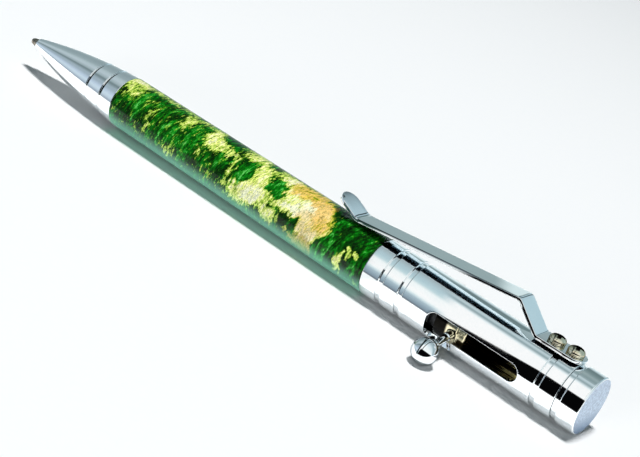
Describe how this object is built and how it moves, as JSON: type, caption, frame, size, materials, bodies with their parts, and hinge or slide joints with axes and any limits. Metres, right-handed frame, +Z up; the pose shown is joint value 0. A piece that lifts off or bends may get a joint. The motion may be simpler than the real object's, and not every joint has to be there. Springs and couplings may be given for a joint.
{
  "type": "bolt action pen",
  "caption": "Bolt action ballpoint pen with a chrome slotted housing, a ball knob bolt, a screwed-on bent clip, a green burl barrel and a tapered nib",
  "frame": {"origin": "centre of the end cap's flat rear face, on the pen's axis", "axes": "+X runs along the pen's axis from the writing tip to the end cap and out of its flat face, +Z points up to the clip, and -Y is the side that the bolt stands out of"},
  "size_m": [0.1506, 0.0216, 0.0177],
  "materials": {
    "polished_chrome": "mirror polish",
    "satin_chrome": "satin",
    "warm_nickel": "bright nickel",
    "green_burl": "high gloss over stabilised burl",
    "brass": "machined",
    "spring_steel": "bright drawn",
    "black_acetal": "matt",
    "point_brass": "machined",
    "carbide": "ground"
  },
  "bodies": {
    "pen_body": {"bolt_housing": "polished_chrome", "end_cap": "satin_chrome", "clip": "polished_chrome", "clip_screw_front": "warm_nickel", "clip_screw_rear": "warm_nickel", "barrel_sleeve": "green_burl", "barrel_tube": "brass", "nib_coupler": "brass", "rear_coupler": "brass"},
    "nib_carriage": {"refill_spring": "spring_steel"},
    "nib": {"nib": "polished_chrome"},
    "bolt_push": {"refill_seat": "black_acetal"},
    "bolt": {"plunger": "warm_nickel", "bolt_stem": "polished_chrome"},
    "refill": {"refill_tube": "spring_steel", "refill_point": "point_brass", "refill_plug": "black_acetal", "writing_ball": "carbide"},
    "knob": {"bolt_knob": "polished_chrome"}
  },
  "joints": [
    {"name": "nib_travel", "type": "slide", "parent": "pen_body", "child": "nib_carriage", "axis": [-1, 0, 0], "range_m": [0, 0.007]},
    {"name": "nib_turn", "type": "hinge", "parent": "nib_carriage", "child": "nib", "pos_m": [-0.1484, 0, 0], "axis": [-1, 0, 0], "range_deg": [0, 2520]},
    {"name": "bolt_slide", "type": "slide", "parent": "pen_body", "child": "bolt_push", "axis": [1, 0, 0], "range_m": [-0.0023, 0.0138], "deforming": ["refill_spring"]},
    {"name": "bolt_turn", "type": "hinge", "parent": "bolt_push", "child": "bolt", "pos_m": [-0.0293, 0, 0], "axis": [-1, 0, 0], "range_deg": [-22, 16]},
    {"name": "refill_turn", "type": "hinge", "parent": "bolt_push", "child": "refill", "pos_m": [-0.1501, 0, 0], "axis": [1, 0, 0], "continuous": true},
    {"name": "knob_out", "type": "slide", "parent": "bolt", "child": "knob", "axis": [0, -0.9647, -0.2632], "range_m": [0, 0.0014]}
  ],
  "couplings": [
    {"joint": "nib_travel", "follows": "nib_turn", "m_per_rad": 0.00015915}
  ]
}
